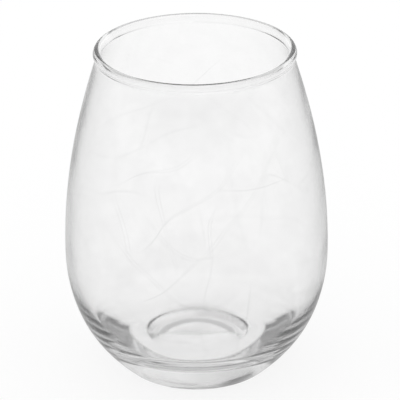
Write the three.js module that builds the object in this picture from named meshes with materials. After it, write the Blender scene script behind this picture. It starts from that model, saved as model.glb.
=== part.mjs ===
// Stemless wine glass: an egg-shaped bowl that narrows to a beaded rim and stands on its own thick base.
// The real glass is one unbroken piece. It is modelled as the four zones in which the glass is worked:
// the pressed base, the lower and the upper half of the blown bowl, and the fire-polished rim.
// Each zone is a closed solid of revolution, and meets the next one face to face on a flat ring.
// Millimetres, +Z up, with the origin on the table in the middle of the bearing ring.

import * as THREE from 'three';

// Outside of the glass
const glassHeight = 116;
const bellyRadius = 45;
const bellyHeight = 44;
const rimRadius = 34.05;
const neckLeanDegrees = 14;

// Thickness of the glass
const neckWall = 1.35;
const bellyWall = 1.7;
const cornerWall = 2.8;

// Bead of the rim: it stands proud of the neck, and its top is a half ellipse
const beadWidth = 2.75;
const beadHeight = 3.7;
const beadCrown = 1.7;
const beadProud = 0.75;

// Outside of the base: the heel leaves the table at an angle, with a rounded corner above the flat
// bearing ring, and the punt is the hollow inside that ring
const heelRadius = 24.4;
const heelAngleDegrees = 42;
const heelRound = 4.8;
const bearingWidth = 5;
const puntDepth = 5.9;

// Inside of the base: the punt pushes the floor up into a dome with a trough around it, and the corner
// is where the trough has turned up into the wall; the base zone ends a little above the corner
const troughRadius = 19.8;
const troughHeight = 12.55;
const domeRise = 3.5;
const cornerHeight = 19;
const cornerSlopeDegrees = 59.5;
const baseAboveCorner = 3;

// How far each curve follows its end tangent, as a share of that stretch's own rise or reach
const heelPull = 0.213;
const bellyPullDown = 0.577;
const bellyPullUp = 0.51;
const neckPull = 0.0975;
const bellyPullInside = 0.426;
const cornerPullUp = 0.37;
const cornerPullDown = 0.9;
const troughPullOut = 0.396;
const troughPullIn = 0.32;
const domePull = 0.565;
const puntPull = 0.61;
const puntEdgePull = 0.235;
const puntEdgeRise = 0.405;

// Facets
const sides = 64;
const bowlSteps = 9;
const baseSteps = 8;
const floorSteps = 10;
const roundSteps = 4;
const crownSteps = 8;
const heightTolerance = 1e-9;

// Places that two zones share
const neckHeight = glassHeight - beadHeight;
const neckRadius = rimRadius - beadProud;
const crownHeight = glassHeight - beadCrown;
const baseHeight = cornerHeight + baseAboveCorner;
const neckLean = THREE.MathUtils.degToRad(neckLeanDegrees);
const heelAngle = THREE.MathUtils.degToRad(heelAngleDegrees);
const cornerSlope = THREE.MathUtils.degToRad(cornerSlopeDegrees);
const bearingOuter = heelRadius - heelRound * Math.tan(heelAngle / 2);
const bearingInner = bearingOuter - bearingWidth;

function at(radius, height) {
  return new THREE.Vector2(radius, height);
}

// Wall from the belly up to the neck, with the belly upright and the neck leaning inwards.
function shoulderCurve(bellyPlace, neckPlace) {
  const rise = neckHeight - bellyHeight;
  const neckHandle = at(Math.sin(neckLean), -Math.cos(neckLean)).multiplyScalar(neckPull * rise);
  return new THREE.CubicBezierCurve(
    at(bellyPlace, bellyHeight),
    at(bellyPlace, bellyHeight + bellyPullUp * rise),
    at(neckPlace, neckHeight).add(neckHandle),
    at(neckPlace, neckHeight),
  );
}

// Outside of the wall from the rounded heel up to the belly.
function heelCurve() {
  const start = at(
    bearingOuter + heelRound * Math.sin(heelAngle),
    heelRound * (1 - Math.cos(heelAngle)),
  );
  const rise = bellyHeight - start.y;
  const heelHandle = at(Math.cos(heelAngle), Math.sin(heelAngle)).multiplyScalar(heelPull * rise);
  return new THREE.CubicBezierCurve(
    start,
    start.clone().add(heelHandle),
    at(bellyRadius, bellyHeight - bellyPullDown * rise),
    at(bellyRadius, bellyHeight),
  );
}

// Inside of the wall from the corner up to the belly.
function wallCurve(corner) {
  const reach = bellyRadius - bellyWall;
  const rise = bellyHeight - cornerHeight;
  const upTheWall = at(Math.cos(cornerSlope), Math.sin(cornerSlope)).multiplyScalar(cornerPullUp * rise);
  return new THREE.CubicBezierCurve(
    corner,
    corner.clone().add(upTheWall),
    at(reach, bellyHeight - bellyPullInside * rise),
    at(reach, bellyHeight),
  );
}

// Inside of the base from the trough, where it is level, up to the corner.
function cornerCurve(corner) {
  const reach = corner.x - troughRadius;
  const rise = cornerHeight - troughHeight;
  const upTheCorner = at(Math.cos(cornerSlope), Math.sin(cornerSlope)).multiplyScalar(cornerPullDown * rise);
  return new THREE.CubicBezierCurve(
    at(troughRadius, troughHeight),
    at(troughRadius + troughPullOut * reach, troughHeight),
    corner.clone().sub(upTheCorner),
    corner,
  );
}

// Dome of the floor from its middle down to the trough, level at both ends.
function domeCurve() {
  const domeTop = troughHeight + domeRise;
  return new THREE.CubicBezierCurve(
    at(0, domeTop),
    at(domePull * troughRadius, domeTop),
    at(troughRadius - troughPullIn * troughRadius, troughHeight),
    at(troughRadius, troughHeight),
  );
}

// Underside from the middle of the punt down to the bearing ring.
function puntCurve() {
  return new THREE.CubicBezierCurve(
    at(0, puntDepth),
    at(puntPull * bearingInner, puntDepth),
    at(bearingInner - puntEdgePull * bearingInner, puntEdgeRise * puntDepth),
    at(bearingInner, 0),
  );
}

// Rounded corner between the bearing ring and the heel.
function heelCorner() {
  const lowest = -Math.PI / 2;
  return new THREE.EllipseCurve(
    bearingOuter, heelRound, heelRound, heelRound, lowest, lowest + heelAngle,
  );
}

// Half ellipse over the top of the bead, from its outside to its inside.
function beadTop() {
  return new THREE.EllipseCurve(
    rimRadius - beadWidth / 2, crownHeight, beadWidth / 2, beadCrown, 0, Math.PI,
  );
}

// Fillet between the neck and the side of the bead, for the outside or the inside.
function beadFillet(neckPlace, beadPlace) {
  const rise = crownHeight - neckHeight;
  const upTheNeck = at(-Math.sin(neckLean), Math.cos(neckLean)).multiplyScalar(rise / 3);
  return new THREE.CubicBezierCurve(
    at(neckPlace, neckHeight),
    at(neckPlace, neckHeight).add(upTheNeck),
    at(beadPlace, crownHeight - rise / 2),
    at(beadPlace, crownHeight),
  );
}

// Where a rising curve passes a height, by halving the interval.
function passes(curve, height) {
  let low = 0;
  let high = 1;
  while (high - low > heightTolerance) {
    const middle = (low + high) / 2;
    if (curve.getPoint(middle).y < height) {
      low = middle;
    } else {
      high = middle;
    }
  }
  return (low + high) / 2;
}

function stretch(curve, from, to, steps) {
  const places = [];
  for (let step = 0; step <= steps; step += 1) {
    places.push(curve.getPoint(from + (to - from) * step / steps));
  }
  return places;
}

// Joins stretches end to end, with each shared end kept once.
function outline(...stretches) {
  const places = [];
  for (const place of stretches.flat()) {
    const last = places.at(-1);
    if (!last || last.distanceTo(place) > heightTolerance * glassHeight) {
      places.push(place);
    }
  }
  return places;
}

// An outline that runs up the outside and down the inside, turned about the upright axis.
function zone(name, places) {
  const geometry = new THREE.LatheGeometry(places, sides);
  geometry.rotateX(Math.PI / 2);
  const material = new THREE.MeshStandardMaterial({
    color: 0xeef2f1, roughness: 0.04, metalness: 0, transparent: true, opacity: 0.35,
  });
  const mesh = new THREE.Mesh(geometry, material);
  mesh.name = name;
  return mesh;
}

const heel = heelCurve();
const heelSplit = passes(heel, baseHeight);
const besideCorner = heel.getPoint(passes(heel, cornerHeight));
const corner = at(besideCorner.x - cornerWall, cornerHeight);
const wall = wallCurve(corner);
const wallSplit = passes(wall, baseHeight);
const shoulderOutside = shoulderCurve(bellyRadius, neckRadius);
const shoulderInside = shoulderCurve(bellyRadius - bellyWall, neckRadius - neckWall);
const filletOutside = beadFillet(neckRadius, rimRadius);
const filletInside = beadFillet(neckRadius - neckWall, rimRadius - beadWidth);

const base = zone('base', outline(
  stretch(puntCurve(), 0, 1, baseSteps),
  stretch(heelCorner(), 0, 1, roundSteps),
  stretch(heel, 0, heelSplit, baseSteps),
  stretch(wall, wallSplit, 0, roundSteps),
  stretch(cornerCurve(corner), 1, 0, baseSteps),
  stretch(domeCurve(), 1, 0, floorSteps),
));

const lowerBowl = zone('lower_bowl', outline(
  stretch(heel, heelSplit, 1, bowlSteps),
  stretch(wall, 1, wallSplit, bowlSteps),
  stretch(heel, heelSplit, heelSplit, 1),
));

const upperBowl = zone('upper_bowl', outline(
  stretch(shoulderOutside, 0, 1, bowlSteps),
  stretch(shoulderInside, 1, 0, bowlSteps),
  stretch(shoulderOutside, 0, 0, 1),
));

const rim = zone('rim', outline(
  stretch(filletOutside, 0, 1, roundSteps),
  stretch(beadTop(), 0, 1, crownSteps),
  stretch(filletInside, 1, 0, roundSteps),
  stretch(filletOutside, 0, 0, 1),
));

const wineGlass = new THREE.Group();
wineGlass.name = 'stemless_wine_glass';
wineGlass.add(base, lowerBowl, upperBowl, rim);

export default wineGlass;
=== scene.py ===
# %% [markdown]
# # A stemless wine glass
# The glass is an egg-shaped bowl without a stem. It is one unbroken piece of clear soda-lime glass: the
# thick base is pressed, the bowl is blown, and the rim is melted round by a flame. Glass has hardly any
# colour of its own, so nearly everything that the eye sees in it is its surroundings, bent by the thickness
# of the wall. The lesson therefore spends its care on two things: the inside and outside outlines, and what
# stands around the glass.

# %% The frame
import math

import bmesh
import bpy
from mathutils import Matrix, Vector, noise
from mathutils.geometry import interpolate_bezier


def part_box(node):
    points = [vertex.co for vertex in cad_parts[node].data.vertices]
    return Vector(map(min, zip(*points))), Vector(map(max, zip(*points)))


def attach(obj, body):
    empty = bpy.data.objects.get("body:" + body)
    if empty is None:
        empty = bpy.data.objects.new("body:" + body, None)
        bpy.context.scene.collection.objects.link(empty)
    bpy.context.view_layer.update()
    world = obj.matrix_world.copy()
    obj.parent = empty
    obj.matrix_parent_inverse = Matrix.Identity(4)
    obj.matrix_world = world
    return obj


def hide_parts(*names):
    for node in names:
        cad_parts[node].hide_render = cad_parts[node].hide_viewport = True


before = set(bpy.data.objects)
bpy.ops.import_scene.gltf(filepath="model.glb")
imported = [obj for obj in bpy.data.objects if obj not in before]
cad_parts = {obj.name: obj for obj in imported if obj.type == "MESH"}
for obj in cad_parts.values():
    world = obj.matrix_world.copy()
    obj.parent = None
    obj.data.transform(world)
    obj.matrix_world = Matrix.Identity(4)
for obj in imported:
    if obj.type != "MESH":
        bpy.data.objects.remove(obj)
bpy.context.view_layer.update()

print("solids:", sorted(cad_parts))

# %% [markdown]
# ## Sizes
# The main heights and radii are read from the solids, so the visible glass is exactly as large as they are.
# The thicknesses and the small curves of the base and the rim can't be read from a box, so they are named
# here in millimetres. A maker would find the same numbers on the drawing of the mould.

# %% Sizes from the solids
MM = 0.001
glass_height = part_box("rim")[1].z
rim_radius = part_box("rim")[1].x
neck_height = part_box("upper_bowl")[1].z
belly_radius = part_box("lower_bowl")[1].x
belly_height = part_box("lower_bowl")[1].z
print("height", round(glass_height, 4), "belly", round(belly_radius, 4), "rim", round(rim_radius, 4))

# %% Named sizes
neck_lean = math.radians(14)
neck_wall = 1.35 * MM
belly_wall = 1.7 * MM
corner_wall = 2.8 * MM
bead_width = 2.75 * MM
bead_crown = 1.7 * MM
bead_proud = 0.75 * MM
heel_radius = 24.4 * MM
heel_angle = math.radians(42)
heel_round = 4.8 * MM
bearing_width = 5.0 * MM
punt_depth = 5.9 * MM
trough_radius = 19.8 * MM
trough_height = 12.55 * MM
dome_rise = 3.5 * MM
corner_height = 19.0 * MM
corner_slope = math.radians(59.5)

# %% [markdown]
# A curve leaves each of its ends in a given direction and then bends away. The shares below say how far it
# follows that direction, as a part of the stretch's own rise or reach. A larger share makes a fuller curve.
# They stay shares, so the curves keep their character when a size is changed.

# %% Shares of the curves
punt_pull = 0.61
punt_edge_pull = 0.235
punt_edge_rise = 0.405
heel_pull = 0.213
belly_pull_down = 0.577
belly_pull_up = 0.51
neck_pull = 0.0975
belly_pull_inside = 0.426
corner_pull_up = 0.37
corner_pull_down = 0.9
trough_pull_out = 0.396
trough_pull_in = 0.32
dome_pull = 0.565
fillet_pull_neck = 1 / 3
fillet_pull_bead = 1 / 2
quarter_pull = 0.5523

# %% Points on each curve
punt_points = 22
heel_corner_points = 12
heel_points = 60
shoulder_points = 30
fillet_points = 8
crown_points = 10
wall_points = 26
corner_points = 22
dome_points = 28

# %% [markdown]
# ## The outline
# A glass is a turned shape, so one outline in the XZ plane holds all of it. The outline could be drawn by
# hand as a row of points, but curves with handles stay smooth however closely they are looked at, and a bend
# in glass shows at once as a kink in what is seen through it. Blender's own interpolate_bezier gives the
# points of each curve. The outline runs from the middle of the underside, out and up the outside, over the
# rim, and down the inside to the middle of the floor.

# %% Places and directions
def place(radius, height):
    return Vector((radius, 0.0, height))


def along(angle, length):
    return place(math.cos(angle) * length, math.sin(angle) * length)


# %% Underside: the punt, the bearing ring and the rounded heel
bearing_outer = heel_radius - heel_round * math.tan(heel_angle / 2)
bearing_inner = bearing_outer - bearing_width
punt = interpolate_bezier(
    place(0, punt_depth),
    place(punt_pull * bearing_inner, punt_depth),
    place(bearing_inner - punt_edge_pull * bearing_inner, punt_edge_rise * punt_depth),
    place(bearing_inner, 0),
    punt_points,
)
arc_handle = heel_round * math.tan(heel_angle / 4) * 4 / 3
heel_start = place(
    bearing_outer + heel_round * math.sin(heel_angle),
    heel_round * (1 - math.cos(heel_angle)),
)
heel_corner = interpolate_bezier(
    place(bearing_outer, 0),
    place(bearing_outer + arc_handle, 0),
    heel_start - along(heel_angle, arc_handle),
    heel_start,
    heel_corner_points,
)
print("bearing ring from", round(bearing_inner / MM, 2), "to", round(bearing_outer / MM, 2), "mm")

# %% Outside of the bowl
heel_rise = belly_height - heel_start.z
shoulder_rise = neck_height - belly_height
neck_radius = rim_radius - bead_proud
up_the_neck = place(-math.sin(neck_lean), math.cos(neck_lean))
heel_wall = interpolate_bezier(
    heel_start,
    heel_start + along(heel_angle, heel_pull * heel_rise),
    place(belly_radius, belly_height - belly_pull_down * heel_rise),
    place(belly_radius, belly_height),
    heel_points,
)
shoulder = interpolate_bezier(
    place(belly_radius, belly_height),
    place(belly_radius, belly_height + belly_pull_up * shoulder_rise),
    place(neck_radius, neck_height) - up_the_neck * (neck_pull * shoulder_rise),
    place(neck_radius, neck_height),
    shoulder_points,
)
print("outside of the bowl:", len(heel_wall) + len(shoulder), "points")

# %% Bead of the rim, as two quarters of an ellipse between two fillets
crown_height = glass_height - bead_crown
bead_rise = crown_height - neck_height
bead_middle = rim_radius - bead_width / 2
bead_inner = rim_radius - bead_width
neck_inner = neck_radius - neck_wall
fillet_out = interpolate_bezier(
    place(neck_radius, neck_height),
    place(neck_radius, neck_height) + up_the_neck * (fillet_pull_neck * bead_rise),
    place(rim_radius, crown_height - fillet_pull_bead * bead_rise),
    place(rim_radius, crown_height),
    fillet_points,
)
crown_out = interpolate_bezier(
    place(rim_radius, crown_height),
    place(rim_radius, crown_height + quarter_pull * bead_crown),
    place(bead_middle + quarter_pull * bead_width / 2, glass_height),
    place(bead_middle, glass_height),
    crown_points,
)
crown_in = interpolate_bezier(
    place(bead_middle, glass_height),
    place(bead_middle - quarter_pull * bead_width / 2, glass_height),
    place(bead_inner, crown_height + quarter_pull * bead_crown),
    place(bead_inner, crown_height),
    crown_points,
)
fillet_in = interpolate_bezier(
    place(bead_inner, crown_height),
    place(bead_inner, crown_height - fillet_pull_bead * bead_rise),
    place(neck_inner, neck_height) + up_the_neck * (fillet_pull_neck * bead_rise),
    place(neck_inner, neck_height),
    fillet_points,
)
bead_height = glass_height - neck_height
print("bead", round(bead_width / MM, 2), "mm wide and", round(bead_height / MM, 2), "mm high")

# %% Inside of the bowl
belly_inner = belly_radius - belly_wall
shoulder_in = interpolate_bezier(
    place(neck_inner, neck_height),
    place(neck_inner, neck_height) - up_the_neck * (neck_pull * shoulder_rise),
    place(belly_inner, belly_height + belly_pull_up * shoulder_rise),
    place(belly_inner, belly_height),
    shoulder_points,
)
below = [point for point in heel_wall if point.z <= corner_height][-1]
above = [point for point in heel_wall if point.z > corner_height][0]
beside_corner = below.lerp(above, (corner_height - below.z) / (above.z - below.z))
corner = place(beside_corner.x - corner_wall, corner_height)
wall_rise = belly_height - corner_height
wall_in = interpolate_bezier(
    place(belly_inner, belly_height),
    place(belly_inner, belly_height - belly_pull_inside * wall_rise),
    corner + along(corner_slope, corner_pull_up * wall_rise),
    corner,
    wall_points,
)
print("wall", round(neck_wall / MM, 2), "mm at the neck,", round(corner_wall / MM, 2), "mm at the corner")

# %% Floor: the corner, the trough and the dome
corner_rise = corner_height - trough_height
corner_in = interpolate_bezier(
    corner,
    corner - along(corner_slope, corner_pull_down * corner_rise),
    place(trough_radius + trough_pull_out * (corner.x - trough_radius), trough_height),
    place(trough_radius, trough_height),
    corner_points,
)
dome_top = trough_height + dome_rise
dome = interpolate_bezier(
    place(trough_radius, trough_height),
    place(trough_radius - trough_pull_in * trough_radius, trough_height),
    place(dome_pull * trough_radius, dome_top),
    place(0, dome_top),
    dome_points,
)
print("floor", round((dome_top - punt_depth) / MM, 2), "mm thick in the middle")

# %% [markdown]
# ## Turning the outline
# The bowl could be lathed with a Screw modifier, but bmesh's spin gives a finished mesh that other steps can
# still touch. The stretches share their end points, so those are merged before the spin. After the spin the
# two ends on the axis are each a heap of points, so the doubles are merged once more, and only then are the
# normals recalculated, because light has to know which side of the wall is glass. The wall is one unbroken
# mesh from the table to the rim, because a face inside the glass would break what is seen through it.

# %% Spin
turns = 256
merge_distance = 0.0005 * MM
outside = punt + heel_corner + heel_wall + shoulder + fillet_out + crown_out
inside = crown_in + fillet_in + shoulder_in + wall_in + corner_in + dome

glass_mesh = bmesh.new()
points = [glass_mesh.verts.new(point) for point in outside + inside]
for first_point, next_point in zip(points, points[1:]):
    glass_mesh.edges.new((first_point, next_point))
bmesh.ops.remove_doubles(glass_mesh, verts=glass_mesh.verts[:], dist=merge_distance)
bmesh.ops.spin(
    glass_mesh,
    geom=glass_mesh.verts[:] + glass_mesh.edges[:],
    cent=(0, 0, 0),
    axis=(0, 0, 1),
    angle=math.tau,
    steps=turns,
    use_merge=True,
)
bmesh.ops.remove_doubles(glass_mesh, verts=glass_mesh.verts[:], dist=merge_distance)
bmesh.ops.recalc_face_normals(glass_mesh, faces=glass_mesh.faces[:])
print("glass:", len(glass_mesh.verts), "points,", len(glass_mesh.faces), "faces")

# %% [markdown]
# ## The hand of the machine
# No blown glass is perfectly even. The wall swells and thins by a few hundredths of a millimetre, which
# nobody can feel, but which makes straight things look a little wavy through it. Every point is moved along
# its normal by Blender's own noise. The swell fades out towards the table, so that the bearing ring stays
# flat, and towards the rim, so that the bead stays even.

# %% Slight swell of the wall
swell_depth = 0.05 * MM
swell_length = 14 * MM
swell_from = 2 * MM
swell_full = 10 * MM

glass_mesh.normal_update()
for point in glass_mesh.verts:
    table_fade = min(1.0, max(0.0, (point.co.z - swell_from) / (swell_full - swell_from)))
    rim_fade = min(1.0, max(0.0, (neck_height - point.co.z) / swell_full))
    swell = swell_depth * table_fade * rim_fade * noise.noise(point.co / swell_length)
    point.co += point.normal * swell
for face in glass_mesh.faces:
    face.smooth = True
print("swell up to", round(swell_depth / MM, 3), "mm")

# %% The piece
mesh = bpy.data.meshes.new("glass_body")
glass_mesh.to_mesh(mesh)
glass_mesh.free()
glass_body = bpy.data.objects.new("glass_body", mesh)
bpy.context.scene.collection.objects.link(glass_body)
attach(glass_body, "root")
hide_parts("base", "lower_bowl", "upper_bowl", "rim")
print("piece:", glass_body.name)

# %% [markdown]
# ## Soda-lime glass
# Drinking glasses are soda-lime glass: sand, soda and lime, with an index of about 1.52. Its own colour is so
# faint that a thin wall shows none. It shows only where light runs a long way inside the glass, along the
# edges and in the base, so it belongs in the volume and not on the surface: an absorption for each metre of
# the way. The surface is fire-polished, with a slow orange peel from the mould. It isn't as flat as a lens,
# so it has a little roughness, which softens the lines that are seen in the thick base.

# %% Material helpers
def colour(hex_code):
    levels = [int(hex_code[i:i + 2], 16) / 255 for i in (0, 2, 4)]
    linear = [x / 12.92 if x <= 0.04045 else ((x + 0.055) / 1.055) ** 2.4 for x in levels]
    return (*linear, 1.0)


def add_node(tree, kind, settings, links):
    node = tree.nodes.new(kind)
    for name, value in settings.items():
        if isinstance(name, str) and hasattr(node, name):
            setattr(node, name, value)
        else:
            node.inputs[name].default_value = value
    for name, source in links.items():
        tree.links.new(source, node.inputs[name])
    return node


# %% Glass
glass_index = 1.52
glass_grey = "E6E6E6"
grey_per_metre = 12.0
peel_size = 6 * MM
peel_depth = 0.01 * MM

soda_lime = bpy.data.materials.new("soda_lime_glass_fire_polished")
soda_lime.use_nodes = True
tree = soda_lime.node_tree
shader = tree.nodes["Principled BSDF"]
shader.inputs["Transmission Weight"].default_value = 1.0
shader.inputs["IOR"].default_value = glass_index
glass_depth = add_node(
    tree, "ShaderNodeVolumeAbsorption",
    {"Color": colour(glass_grey), "Density": grey_per_metre},
    {},
)
tree.links.new(glass_depth.outputs[0], tree.nodes["Material Output"].inputs["Volume"])

where = add_node(tree, "ShaderNodeTexCoord", {}, {})
peel = add_node(
    tree, "ShaderNodeTexNoise",
    {"Scale": 1 / peel_size, "Detail": 2.0, "Roughness": 0.4},
    {"Vector": where.outputs["Object"]},
)
peel_bump = add_node(
    tree, "ShaderNodeBump",
    {"Strength": 1.0, "Distance": peel_depth},
    {"Height": peel.outputs["Fac"]},
)
tree.links.new(peel_bump.outputs["Normal"], shader.inputs["Normal"])
glass_body.data.materials.append(soda_lime)
print("material:", soda_lime.name)

# %% [markdown]
# ## A glass that was wiped dry
# What is left for the eye is the thin film on a wiped glass: faint clouds, and hair-thin marks from the
# cloth. The marks could be painted, but a wave around the glass is zero along evenly spaced lines, and those
# are thin marks already. Three waves are used: one around the glass for upright marks, one up the glass for
# level marks, and a slanting one. One channel of a noise bends each of them, and the same channel of a second
# noise rubs out most of their length. A real mark is finer than a tenth of a millimetre. Here it is drawn
# about half a millimetre wide, so that it shows.

# %% Marks of the cloth
wander_size = 44 * MM
gap_size = 34 * MM
gap_low = 0.47
gap_high = 0.62
marks_around = 9
marks_apart = 19 * MM
bend = 8.0
half_width = 0.07
fade_below_neck = 34 * MM
fade_above_corner = 10 * MM

spot = add_node(tree, "ShaderNodeSeparateXYZ", {}, {0: where.outputs["Object"]})
around = add_node(
    tree, "ShaderNodeMath", {"operation": "ARCTAN2"},
    {0: spot.outputs["Y"], 1: spot.outputs["X"]},
)
wander = add_node(
    tree, "ShaderNodeTexNoise",
    {"Scale": 1 / wander_size, "Detail": 1.0, "Roughness": 0.4},
    {"Vector": where.outputs["Object"]},
)
wanders = add_node(tree, "ShaderNodeSeparateXYZ", {}, {0: wander.outputs["Color"]})
gap = add_node(
    tree, "ShaderNodeTexNoise",
    {"Scale": 1 / gap_size, "Detail": 1.0},
    {"Vector": where.outputs["Object"]},
)
gaps = add_node(tree, "ShaderNodeSeparateXYZ", {}, {0: gap.outputs["Color"]})

# Each set: how often its wave passes in a turn and in a step of marks_apart, and its channel of the noises.
mark_sets = {"upright": (marks_around, 0, "X"), "level": (2, 1, "Y"), "slanting": (-5, 1, "Z")}
marks = None
for in_a_turn, in_a_step, channel in mark_sets.values():
    climb = add_node(
        tree, "ShaderNodeMath", {"operation": "MULTIPLY", 1: in_a_step * math.pi / marks_apart},
        {0: spot.outputs["Z"]},
    )
    straight = add_node(
        tree, "ShaderNodeMath", {"operation": "MULTIPLY_ADD", 1: in_a_turn},
        {0: around.outputs[0], 2: climb.outputs[0]},
    )
    bent = add_node(
        tree, "ShaderNodeMath", {"operation": "MULTIPLY_ADD", 1: bend},
        {0: wanders.outputs[channel], 2: straight.outputs[0]},
    )
    wave = add_node(tree, "ShaderNodeMath", {"operation": "SINE"}, {0: bent.outputs[0]})
    off_line = add_node(tree, "ShaderNodeMath", {"operation": "ABSOLUTE"}, {0: wave.outputs[0]})
    line = add_node(
        tree, "ShaderNodeMapRange",
        {"interpolation_type": "SMOOTHSTEP", "From Max": half_width, "To Min": 1.0, "To Max": 0.0},
        {"Value": off_line.outputs[0]},
    )
    kept = add_node(
        tree, "ShaderNodeMapRange",
        {"interpolation_type": "SMOOTHSTEP", "From Min": gap_low, "From Max": gap_high},
        {"Value": gaps.outputs[channel]},
    )
    mark = add_node(
        tree, "ShaderNodeMath", {"operation": "MULTIPLY"},
        {0: line.outputs[0], 1: kept.outputs[0]},
    )
    if marks is None:
        marks = mark
    else:
        marks = add_node(
            tree, "ShaderNodeMath", {"operation": "MAXIMUM"},
            {0: marks.outputs[0], 1: mark.outputs[0]},
        )
print("sets of marks:", ", ".join(mark_sets))

# %% The marks fade towards the rim and the base
for none_at, full_at in (
    (neck_height, neck_height - fade_below_neck),
    (corner_height, corner_height + fade_above_corner),
):
    fade = add_node(
        tree, "ShaderNodeMapRange",
        {"interpolation_type": "SMOOTHSTEP", "From Min": none_at, "From Max": full_at},
        {"Value": spot.outputs["Z"]},
    )
    marks = add_node(
        tree, "ShaderNodeMath", {"operation": "MULTIPLY"},
        {0: marks.outputs[0], 1: fade.outputs[0]},
    )

# %% Film of clouds and marks, in the colour and in the roughness
cloud_size = 7 * MM
clean_white = "FFFFFF"
film_white = "F5F5F5"
clean_roughness = 0.06
film_roughness = 0.02

cloud = add_node(
    tree, "ShaderNodeTexNoise",
    {"Scale": 1 / cloud_size, "Detail": 5.0, "Roughness": 0.65},
    {"Vector": where.outputs["Object"]},
)
cloud_film = add_node(
    tree, "ShaderNodeMapRange",
    {"From Min": 0.4, "From Max": 0.75, "To Max": 0.4},
    {"Value": cloud.outputs["Fac"]},
)
film = add_node(
    tree, "ShaderNodeMath", {"operation": "ADD"},
    {0: marks.outputs[0], 1: cloud_film.outputs[0]},
)
film_colour = add_node(
    tree, "ShaderNodeMix",
    {"data_type": "RGBA", 6: colour(clean_white), 7: colour(film_white)},
    {0: film.outputs[0]},
)
roughness = add_node(
    tree, "ShaderNodeMath", {"operation": "MULTIPLY_ADD", 1: film_roughness, 2: clean_roughness},
    {0: film.outputs[0]},
)
tree.links.new(film_colour.outputs[2], shader.inputs["Base Color"])
tree.links.new(roughness.outputs[0], shader.inputs["Roughness"])
print("glass material with", len(tree.nodes), "nodes")

# %% [markdown]
# ## Table
# The table is a plain white laminate. It keeps the soft shadow of the glass, and for every ray that looks at
# it, straight or through the glass, it is lifted to white. In a studio only the patch behind the glass is as
# bright as that, and the rest of the table falls off into shade. A ray that was reflected in the glass on its
# way comes from that rest, so it gets less of the lift, and that lower lift is painted shade: Glossy Depth
# counts those reflections. This painted shade draws the grey lines along the edges of the glass and in its
# heel, from whichever side it is seen.

# %% Table
table_half = 4.0
table_drop = 0.02 * MM
laminate_grey = "6A6A6A"
lift_seen = 0.86
painted_shade_lift = 0.54

table_mesh = bmesh.new()
bmesh.ops.create_grid(table_mesh, x_segments=1, y_segments=1, size=table_half)
bmesh.ops.translate(table_mesh, vec=(0, 0, -table_drop), verts=table_mesh.verts[:])
mesh = bpy.data.meshes.new("table")
table_mesh.to_mesh(mesh)
table_mesh.free()
table = bpy.data.objects.new("table", mesh)
bpy.context.scene.collection.objects.link(table)

# %% White laminate
white_top = bpy.data.materials.new("white_laminate")
white_top.use_nodes = True
tree = white_top.node_tree
tree.nodes.remove(tree.nodes["Principled BSDF"])
diffuse = add_node(tree, "ShaderNodeBsdfDiffuse", {"Color": colour(laminate_grey)}, {})
ray = add_node(tree, "ShaderNodeLightPath", {}, {})
seen = add_node(
    tree, "ShaderNodeMath", {"operation": "MAXIMUM"},
    {0: ray.outputs["Is Camera Ray"], 1: ray.outputs["Is Transmission Ray"]},
)
seen_too = add_node(
    tree, "ShaderNodeMath", {"operation": "MAXIMUM"},
    {0: seen.outputs[0], 1: ray.outputs["Is Glossy Ray"]},
)
# Rays that were reflected inside the glass get the lower lift, which paints shade into the table.
reflected = add_node(
    tree, "ShaderNodeMath", {"operation": "GREATER_THAN", 1: 0.5},
    {0: ray.outputs["Glossy Depth"]},
)
level = add_node(
    tree, "ShaderNodeMix", {"data_type": "FLOAT", 2: lift_seen, 3: painted_shade_lift},
    {0: reflected.outputs[0]},
)
lift = add_node(
    tree, "ShaderNodeMath", {"operation": "MULTIPLY"},
    {0: seen_too.outputs[0], 1: level.outputs[0]},
)
glow = add_node(tree, "ShaderNodeEmission", {}, {"Strength": lift.outputs[0]})
both = add_node(tree, "ShaderNodeAddShader", {}, {0: diffuse.outputs[0], 1: glow.outputs[0]})
tree.links.new(both.outputs[0], tree.nodes["Material Output"].inputs["Surface"])
table.data.materials.append(white_top)
print("table:", white_top.name)

# %% [markdown]
# ## Studio
# Glass shows its surroundings, so the surroundings are half of the picture. A white table and a white room
# would leave it almost invisible. Photographers of glass stand dark cards at the left and right, out of the
# picture, and the wall of the glass catches them as dark lines along its edges. The cards could be planes in
# the scene. Here they are drawn into the world, as soft patches in the directions where they would stand, so
# they never block the light. The two side cards meet in front of the glass, because a gap between them would
# be mirrored as a bright strip down the middle of the bowl. The camera itself sees plain white, and so does
# the table.

# %% Directions in the studio
degrees = 180 / math.pi
studio = bpy.data.worlds.new("studio")
bpy.context.scene.world = studio
studio.use_nodes = True
tree = studio.node_tree
background = tree.nodes["Background"]
look = add_node(tree, "ShaderNodeTexCoord", {}, {})
split = add_node(tree, "ShaderNodeSeparateXYZ", {}, {0: look.outputs["Generated"]})
rise = add_node(tree, "ShaderNodeMath", {"operation": "ARCSINE"}, {0: split.outputs["Z"]})
turn = add_node(
    tree, "ShaderNodeMath", {"operation": "ARCTAN2"},
    {0: split.outputs["X"], 1: split.outputs["Y"]},
)
elevation = add_node(tree, "ShaderNodeMath", {"operation": "MULTIPLY", 1: degrees}, {0: rise.outputs[0]})
azimuth = add_node(tree, "ShaderNodeMath", {"operation": "MULTIPLY", 1: degrees}, {0: turn.outputs[0]})

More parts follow.
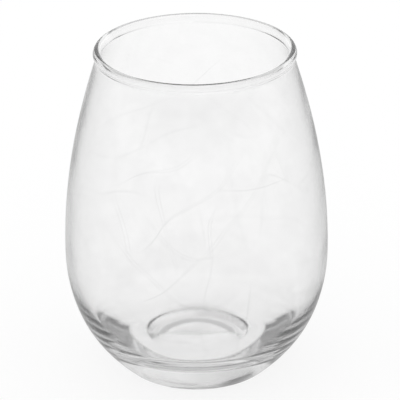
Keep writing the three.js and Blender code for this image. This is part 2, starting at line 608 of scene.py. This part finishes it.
# %% Cards
# Each card: its lowest and highest elevation, its first and last azimuth (0 is behind the glass and
# 90 is to its right), the width of its soft edge, all in degrees, and its tone.
cards = {
    "right": (5, 50, 60, 190, 16, 0.13),
    "left": (5, 75, -190, -41, 12, 0.17),
    "behind": (20, 60, -60, 4, 20, 0.86),
    "above": (62, 120, -200, 200, 24, 0.92),
}
tone = None
for low, high, first, last, soft, card_tone in cards.values():
    mask = None
    for source, start, end in (
        (elevation, low - soft / 2, low + soft / 2),
        (elevation, high + soft / 2, high - soft / 2),
        (azimuth, first - soft / 2, first + soft / 2),
        (azimuth, last + soft / 2, last - soft / 2),
    ):
        edge = add_node(
            tree, "ShaderNodeMapRange",
            {"interpolation_type": "SMOOTHSTEP", "From Min": start, "From Max": end},
            {"Value": source.outputs[0]},
        )
        if mask is None:
            mask = edge
        else:
            mask = add_node(
                tree, "ShaderNodeMath", {"operation": "MULTIPLY"},
                {0: mask.outputs[0], 1: edge.outputs[0]},
            )
    card = add_node(
        tree, "ShaderNodeMath", {"operation": "MULTIPLY_ADD", 1: card_tone - 1, 2: 1.0},
        {0: mask.outputs[0]},
    )
    if tone is None:
        tone = card
    else:
        tone = add_node(
            tree, "ShaderNodeMath", {"operation": "MULTIPLY"},
            {0: tone.outputs[0], 1: card.outputs[0]},
        )
print("studio cards:", ", ".join(cards))

# %% Plain white for the camera and for the light on the table
ray = add_node(tree, "ShaderNodeLightPath", {}, {})
plain = add_node(
    tree, "ShaderNodeMath", {"operation": "MAXIMUM"},
    {0: ray.outputs["Is Camera Ray"], 1: ray.outputs["Is Diffuse Ray"]},
)
shown = add_node(
    tree, "ShaderNodeMix", {"data_type": "FLOAT", 3: 1.0},
    {0: plain.outputs[0], 2: tone.outputs[0]},
)
tree.links.new(shown.outputs[0], background.inputs["Color"])
bpy.context.scene.view_settings.view_transform = "Standard"

# %% [markdown]
# ## Long ways through glass
# In the thick base and in the heel a ray is thrown from side to side many times before it leaves the glass.
# Cycles gives up after twelve turns unless it is told otherwise, and draws such a ray black, so the heel
# would become a solid dark band. With more turns allowed, the streaks of a real heel appear.

# %% Bounces
bounces = 32
bpy.context.scene.cycles.max_bounces = bounces
bpy.context.scene.cycles.transmission_bounces = bounces
bpy.context.scene.cycles.glossy_bounces = bounces
print("bounces:", bounces)

# %% [markdown]
# ## Camera
# The picture was taken from a little above the rim with a long lens, so the mouth and the base are ellipses
# of nearly the same flatness. The camera stands about a metre away. It is turned by small angles, not
# shifted, to bring the glass to its place in the frame, and it leans half a degree as the picture does.

# %% Camera
image_width = 400
sensor_width = 36
pitch = math.radians(24.5)
distance = 0.975
aim_height = 58 * MM
focal_pixels = 2858
aim_pixel = (196.22, 206.3)
lean = math.radians(-0.5)

camera = bpy.data.objects.new("camera", bpy.data.cameras.new("camera"))
bpy.context.scene.collection.objects.link(camera)
bpy.context.scene.camera = camera
camera.data.sensor_width = sensor_width
camera.data.lens = focal_pixels * sensor_width / image_width
camera.data.clip_start = 0.01
camera.data.clip_end = 50
backwards = Vector((0, -math.cos(pitch), math.sin(pitch)))
stand = place(0, aim_height) + backwards * distance
facing = (-backwards).to_track_quat("-Z", "Y").to_matrix()
sideways = Matrix.Rotation((aim_pixel[0] - image_width / 2) / focal_pixels, 3, "Y")
upwards = Matrix.Rotation((aim_pixel[1] - image_width / 2) / focal_pixels, 3, "X")
roll = Matrix.Rotation(lean, 3, "Z")
camera.matrix_world = Matrix.Translation(stand) @ (facing @ sideways @ upwards @ roll).to_4x4()
print("camera at", tuple(round(x, 3) for x in stand))

# %% [markdown]
# ## Finish

# %% The end
bpy.context.view_layer.update()
